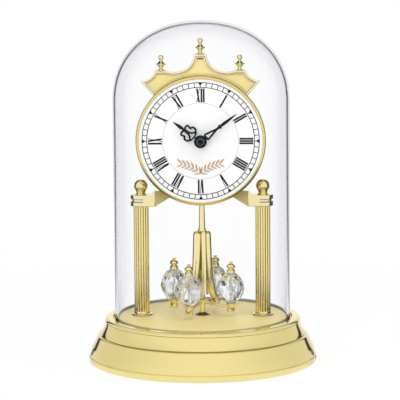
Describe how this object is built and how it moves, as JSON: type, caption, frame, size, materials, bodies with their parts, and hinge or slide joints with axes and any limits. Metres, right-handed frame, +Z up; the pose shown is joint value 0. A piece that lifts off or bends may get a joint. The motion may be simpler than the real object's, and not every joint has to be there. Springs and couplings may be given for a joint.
{
  "type": "glass dome clock",
  "caption": "Dome clock with a stepped round brass base, reeded columns, a round dial under a crest and a turning pendulum with cut crystals, under a clear glass dome.",
  "frame": {"origin": "centre of the underside of the felt pad, on the pendulum axis", "axes": "+Z up along the pendulum axis, the dial faces -Y, +X to the right of someone facing the dial"},
  "size_m": [0.1524, 0.1524, 0.227],
  "materials": {
    "polished_brass": "polished",
    "satin_brass": "satin",
    "train_brass": "machined",
    "steel": "brushed",
    "magnet": "dark sintered",
    "copper_wire": "enamelled wire",
    "black_plastic": "moulded",
    "white_plastic": "moulded",
    "hand_black": "gloss",
    "dial_white": "satin",
    "dial_ink": "printed",
    "dial_tan": "printed",
    "dial_copper": "printed",
    "board_green": "satin",
    "battery_sleeve": "printed sleeve",
    "felt": "felt",
    "dome_glass": "clear",
    "crystal_glass": "cut and polished"
  },
  "bodies": {
    "clock": {"base_shell": "polished_brass", "pendulum_guide": "polished_brass", "column_left": "polished_brass", "column_right": "polished_brass", "column_foot_left": "polished_brass", "column_foot_right": "polished_brass", "ball_finial_left": "polished_brass", "ball_finial_right": "polished_brass", "dial_case": "polished_brass", "bezel": "polished_brass", "crest": "polished_brass", "crest_finial_left": "polished_brass", "crest_finial_centre": "polished_brass", "crest_finial_right": "polished_brass", "base_deck": "satin_brass", "bottom_plate": "steel", "tie_rod_left": "steel", "tie_rod_right": "steel", "tie_nut_left": "steel", "tie_nut_right": "steel", "dial_nut": "steel", "battery_contact_plus": "steel", "battery_contact_minus": "steel", "stator": "steel", "motor_coil": "copper_wire", "drive_coil": "copper_wire", "movement_housing": "black_plastic", "movement_cover": "black_plastic", "train_bridge": "black_plastic", "dial": "dial_white", "circuit_board": "board_green", "felt_pad": "felt"},
    "dome": {"glass_dome": "dome_glass"},
    "pendulum": {"pendulum_swivel": "train_brass", "drive_magnet": "magnet", "pendulum_rod": "polished_brass", "pendulum_tower": "polished_brass", "pendulum_spider": "polished_brass", "crystal_right": "crystal_glass", "crystal_back": "crystal_glass", "crystal_left": "crystal_glass", "crystal_front": "crystal_glass", "crystal_cap_right": "polished_brass", "crystal_cap_back": "polished_brass", "crystal_cap_left": "polished_brass", "crystal_cap_front": "polished_brass"},
    "minute": {"minute_hand": "hand_black", "minute_arbor": "steel", "hand_cap": "hand_black"},
    "hour": {"hour_hand": "hand_black", "hour_wheel": "train_brass"},
    "minute_wheel": {"minute_wheel": "train_brass"},
    "setting_knob": {"setting_knob": "white_plastic"},
    "rotor": {"rotor": "magnet"},
    "intermediate_wheel": {"intermediate_wheel": "white_plastic"},
    "seconds_wheel": {"seconds_wheel": "white_plastic"},
    "third_wheel": {"third_wheel": "white_plastic"},
    "centre_wheel": {"centre_wheel": "train_brass"},
    "battery": {"battery": "battery_sleeve"}
  },
  "joints": [
    {"name": "dome_lift", "type": "slide", "parent": "clock", "child": "dome", "axis": [0, 0, 1], "range_m": [0, 0.2]},
    {"name": "pendulum_turn", "type": "hinge", "parent": "clock", "child": "pendulum", "pos_m": [0, 0, 0.11], "axis": [0, 0, 1], "range_deg": [-180, 180]},
    {"name": "minute_turn", "type": "hinge", "parent": "clock", "child": "minute", "pos_m": [0, 0, 0.1482], "axis": [0, 1, 0], "continuous": true},
    {"name": "hour_turn", "type": "hinge", "parent": "clock", "child": "hour", "pos_m": [0, 0, 0.1482], "axis": [0, 1, 0], "continuous": true},
    {"name": "minute_wheel_turn", "type": "hinge", "parent": "clock", "child": "minute_wheel", "pos_m": [-0.01039, 0, 0.1422], "axis": [0, 1, 0], "continuous": true},
    {"name": "knob_turn", "type": "hinge", "parent": "clock", "child": "setting_knob", "pos_m": [-0.01039, 0, 0.1302], "axis": [0, 1, 0], "continuous": true},
    {"name": "rotor_turn", "type": "hinge", "parent": "clock", "child": "rotor", "pos_m": [0.00373, 0, 0.13189], "axis": [0, 1, 0], "continuous": true},
    {"name": "intermediate_turn", "type": "hinge", "parent": "clock", "child": "intermediate_wheel", "pos_m": [0.01069, 0, 0.13375], "axis": [0, 1, 0], "continuous": true},
    {"name": "seconds_turn", "type": "hinge", "parent": "clock", "child": "seconds_wheel", "pos_m": [0.01796, 0, 0.13795], "axis": [0, 1, 0], "continuous": true},
    {"name": "third_turn", "type": "hinge", "parent": "clock", "child": "third_wheel", "pos_m": [0.01015, 0, 0.14451], "axis": [0, 1, 0], "continuous": true},
    {"name": "centre_turn", "type": "hinge", "parent": "clock", "child": "centre_wheel", "pos_m": [0, 0, 0.1482], "axis": [0, 1, 0], "continuous": true},
    {"name": "battery_slide", "type": "slide", "parent": "clock", "child": "battery", "axis": [0, 1, 0], "range_m": [0, 0.02]}
  ],
  "couplings": [
    {"joint": "hour_turn", "follows": "minute_turn", "ratio": 0.083333},
    {"joint": "minute_wheel_turn", "follows": "minute_turn", "ratio": -0.33333},
    {"joint": "knob_turn", "follows": "minute_turn", "ratio": 1},
    {"joint": "intermediate_turn", "follows": "rotor_turn", "ratio": -0.2},
    {"joint": "seconds_turn", "follows": "rotor_turn", "ratio": 0.033333},
    {"joint": "third_turn", "follows": "rotor_turn", "ratio": -0.0044444},
    {"joint": "centre_turn", "follows": "rotor_turn", "ratio": 0.00055556}
  ]
}
